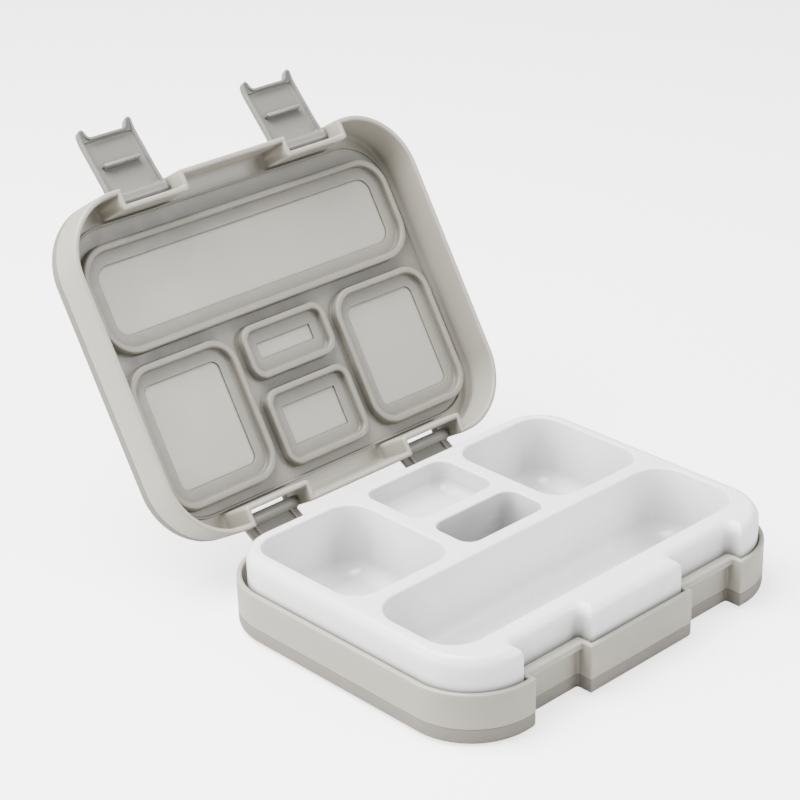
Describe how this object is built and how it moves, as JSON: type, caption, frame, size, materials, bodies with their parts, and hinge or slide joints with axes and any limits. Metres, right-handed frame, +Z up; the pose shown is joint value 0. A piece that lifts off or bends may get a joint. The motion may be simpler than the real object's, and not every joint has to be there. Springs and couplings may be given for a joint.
{
  "type": "bento lunch box",
  "caption": "Rounded lunch box with a hinged lid, front latches, soft edge bands and a lift-out divided food tray, shown open.",
  "frame": {"origin": "centre of the base underside, on the surface the box rests on", "axes": "+X to the right along the long side, +Y from the latch side to the hinge side, +Z up"},
  "size_m": [0.216, 0.3064, 0.1958],
  "materials": {
    "shell": "satin",
    "bumper": "matt",
    "tray": "gloss",
    "seal": "satin",
    "latch": "satin",
    "pin": "brushed"
  },
  "bodies": {
    "base": {"base_shell": "shell", "base_bumper": "bumper", "left_lower_pin": "pin", "right_lower_pin": "pin"},
    "tray": {"tray": "tray"},
    "hinge_links": {"left_hinge_link": "latch", "right_hinge_link": "latch"},
    "lid": {"lid_shell": "shell", "lid_bumper": "bumper", "left_latch_pin": "pin", "right_latch_pin": "pin", "left_upper_pin": "pin", "right_upper_pin": "pin"},
    "seal": {"lid_seal": "seal"},
    "left_latch": {"left_latch": "latch"},
    "right_latch": {"right_latch": "latch"}
  },
  "joints": [
    {"name": "link_fold", "type": "hinge", "parent": "base", "child": "hinge_links", "pos_m": [0, 0.0835, 0.0129], "axis": [-1, 0, 0], "range_deg": [-60.5, 0]},
    {"name": "lid_swing", "type": "hinge", "parent": "hinge_links", "child": "lid", "pos_m": [0, 0.10683, 0.0261], "axis": [-1, 0, 0], "range_deg": [-60.5, 0]},
    {"name": "left_latch_swing", "type": "hinge", "parent": "lid", "child": "left_latch", "pos_m": [-0.0515, 0.19196, 0.16779], "axis": [-1, 0, 0], "range_deg": [-102, 0]},
    {"name": "right_latch_swing", "type": "hinge", "parent": "lid", "child": "right_latch", "pos_m": [0.0515, 0.19196, 0.16779], "axis": [-1, 0, 0], "range_deg": [-102, 0]},
    {"name": "tray_lift", "type": "slide", "parent": "base", "child": "tray", "axis": [0, 0, 1], "range_m": [0, 0.058]},
    {"name": "seal_release", "type": "slide", "parent": "lid", "child": "seal", "axis": [0, -0.8572, 0.515], "range_m": [0, 0.006]}
  ],
  "couplings": [
    {"joint": "link_fold", "follows": "lid_swing", "ratio": 1}
  ]
}
